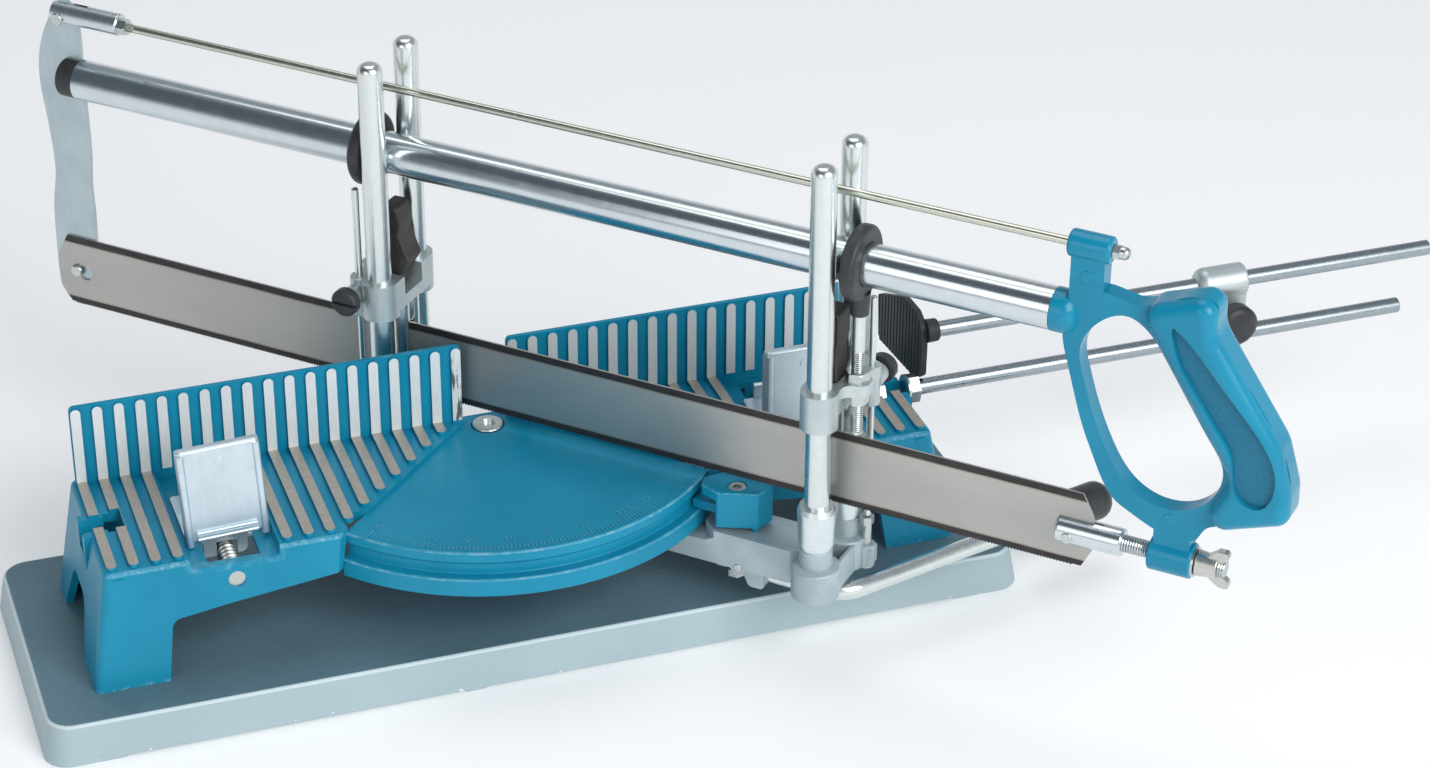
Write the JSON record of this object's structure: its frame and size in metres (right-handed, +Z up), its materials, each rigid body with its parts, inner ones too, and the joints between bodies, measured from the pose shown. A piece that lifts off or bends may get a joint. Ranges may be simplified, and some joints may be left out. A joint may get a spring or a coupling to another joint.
{
  "type": "manual mitre saw",
  "caption": "Manual mitre saw: ribbed blue cast table with fence and work clamps on a base board, swivel arm with guide posts, and a framed hand saw sliding in two rings",
  "frame": {"origin": "on the arm's swivel axis, on the underside of the base board", "axes": "+X to the right along the fence, +Y away from the operator, +Z up; the arm stands at its 45 degree mitre to the right front"},
  "size_m": [0.734, 0.4702, 0.2665],
  "materials": {
    "blue_enamel": "gloss enamel with paler casting edges",
    "grey_lacquer": "semi-gloss lacquer, darker and streaked on top",
    "steel_screws": "zinc plated, satin",
    "spring_steel": "drawn wire",
    "serrated_steel": "zinc plated, serrated",
    "bright_rod": "bright zinc",
    "zinc_sheet": "pale zinc plated sheet",
    "die_cast": "zinc plated casting",
    "zinc_tube": "mottled zinc plate",
    "yellow_zinc": "yellow passivated zinc",
    "blade_steel": "ground and oiled, darker along both edges",
    "black_plastic": "satin moulded",
    "black_grip": "satin moulded",
    "wing_steel": "zinc plated casting"
  },
  "bodies": {
    "base": {"base_board": "grey_lacquer", "board_screws": "steel_screws", "table_casting": "blue_enamel", "clamp_rods": "serrated_steel", "pivot_bolt": "steel_screws", "pivot_fasteners": "steel_screws", "stop_rail": "bright_rod", "stop_rail_nuts": "steel_screws"},
    "arm": {"swivel_arm": "die_cast", "guide_posts": "bright_rod", "post_collars": "bright_rod", "depth_stop_screws": "steel_screws", "lever_pin": "steel_screws", "lever_spring": "spring_steel"},
    "clamp_shoe": {"clamp_shoe": "blue_enamel", "shoe_screw": "steel_screws"},
    "lock_lever": {"lever_block": "die_cast", "lever_rod": "bright_rod", "lever_grip": "black_grip"},
    "front_carriage": {"bridge_front": "die_cast", "blade_guides_front": "bright_rod", "guide_stem_front": "bright_rod", "stem_nuts_front": "steel_screws", "ring_yoke_front": "black_plastic", "ring_cap_front": "black_plastic"},
    "rear_carriage": {"bridge_rear": "die_cast", "blade_guides_rear": "bright_rod", "guide_stem_rear": "bright_rod", "stem_nuts_rear": "steel_screws", "ring_yoke_rear": "black_plastic", "ring_cap_rear": "black_plastic"},
    "front_catch": {"catch_front": "black_plastic"},
    "rear_catch": {"catch_rear": "black_plastic"},
    "front_depth_rod": {"depth_rod_front": "bright_rod"},
    "rear_depth_rod": {"depth_rod_rear": "bright_rod"},
    "front_thumbscrew": {"thumbscrew_front": "black_plastic"},
    "rear_thumbscrew": {"thumbscrew_rear": "black_plastic"},
    "saw": {"frame_tube": "zinc_tube", "tube_plug": "black_plastic", "end_plate": "zinc_sheet", "tension_clevis": "zinc_tube", "plate_rivets": "steel_screws", "tension_nuts": "steel_screws", "tension_rod": "yellow_zinc", "blade": "blade_steel", "blade_clevis": "zinc_tube", "blade_pin": "steel_screws", "handle": "blue_enamel", "handle_washer": "steel_screws"},
    "wing_nut": {"wing_nut": "wing_steel"},
    "left_jaw": {"clamp_jaw_left": "zinc_sheet", "clamp_carriage_left": "zinc_sheet"},
    "right_jaw": {"clamp_jaw_right": "zinc_sheet", "clamp_carriage_right": "zinc_sheet"},
    "stop_holder": {"stop_holder": "die_cast"},
    "stop_knob": {"stop_knob": "black_plastic"},
    "stop_rod": {"stop_rod": "bright_rod", "stop_plate": "black_plastic"}
  },
  "joints": [
    {"name": "mitre_swing", "type": "hinge", "parent": "base", "child": "arm", "pos_m": [0, 0, 0], "axis": [0, 0, 1], "range_deg": [-90, 0]},
    {"name": "lock_lever_tilt", "type": "hinge", "parent": "arm", "child": "lock_lever", "pos_m": [0.10027, -0.10027, 0.0412], "axis": [0.7071, 0.7071, 0], "range_deg": [0, 4], "stiffness_Nm_per_rad": 2, "springref_deg": -8.59},
    {"name": "shoe_lift", "type": "slide", "parent": "arm", "child": "clamp_shoe", "axis": [0, 0, 1], "range_m": [0, 0.0004]},
    {"name": "front_rise", "type": "slide", "parent": "arm", "child": "front_carriage", "axis": [0, 0, 1], "range_m": [0, 0.105]},
    {"name": "rear_rise", "type": "slide", "parent": "arm", "child": "rear_carriage", "axis": [0, 0, 1], "range_m": [0, 0.105]},
    {"name": "front_catch_tilt", "type": "hinge", "parent": "front_carriage", "child": "front_catch", "pos_m": [0.1294, -0.1294, 0.146], "axis": [-0.7071, -0.7071, 0], "range_deg": [0, 25]},
    {"name": "rear_catch_tilt", "type": "hinge", "parent": "rear_carriage", "child": "rear_catch", "pos_m": [-0.03295, 0.03295, 0.146], "axis": [0.7071, 0.7071, 0], "range_deg": [0, 25]},
    {"name": "front_depth_set", "type": "slide", "parent": "front_carriage", "child": "front_depth_rod", "axis": [0, 0, 1], "range_m": [0, 0.012]},
    {"name": "rear_depth_set", "type": "slide", "parent": "rear_carriage", "child": "rear_depth_rod", "axis": [0, 0, 1], "range_m": [0, 0.002]},
    {"name": "front_thumbscrew_turn", "type": "hinge", "parent": "front_carriage", "child": "front_thumbscrew", "pos_m": [0.14977, -0.12671, 0.144], "axis": [0.7071, 0.7071, 0], "continuous": true},
    {"name": "rear_thumbscrew_turn", "type": "hinge", "parent": "rear_carriage", "child": "rear_thumbscrew", "pos_m": [-0.05332, 0.03026, 0.144], "axis": [-0.7071, -0.7071, 0], "continuous": true},
    {"name": "saw_stroke", "type": "slide", "parent": "front_carriage", "child": "saw", "axis": [0.7071, -0.7071, 0], "range_m": [-0.08, 0.15]},
    {"name": "wing_nut_turn", "type": "hinge", "parent": "saw", "child": "wing_nut", "pos_m": [0.25809, -0.25809, 0.1023], "axis": [0.7071, -0.7071, 0], "continuous": true},
    {"name": "left_jaw_slide", "type": "slide", "parent": "base", "child": "left_jaw", "axis": [0, 1, 0], "range_m": [-0.008, 0.0165]},
    {"name": "right_jaw_slide", "type": "slide", "parent": "base", "child": "right_jaw", "axis": [0, 1, 0], "range_m": [-0.008, 0.0165]},
    {"name": "stop_holder_slide", "type": "slide", "parent": "base", "child": "stop_holder", "axis": [1, 0, 0], "range_m": [0, 0.08]},
    {"name": "stop_knob_turn", "type": "hinge", "parent": "stop_holder", "child": "stop_knob", "pos_m": [0.378, -0.0419, 0.0915], "axis": [0, -1, 0], "continuous": true},
    {"name": "stop_rod_slide", "type": "slide", "parent": "stop_holder", "child": "stop_rod", "axis": [1, 0, 0], "range_m": [0, 0.13]}
  ],
  "couplings": [
    {"joint": "shoe_lift", "follows": "lock_lever_tilt", "m_per_rad": 0.0055},
    {"joint": "rear_rise", "follows": "front_rise", "ratio": 1}
  ]
}
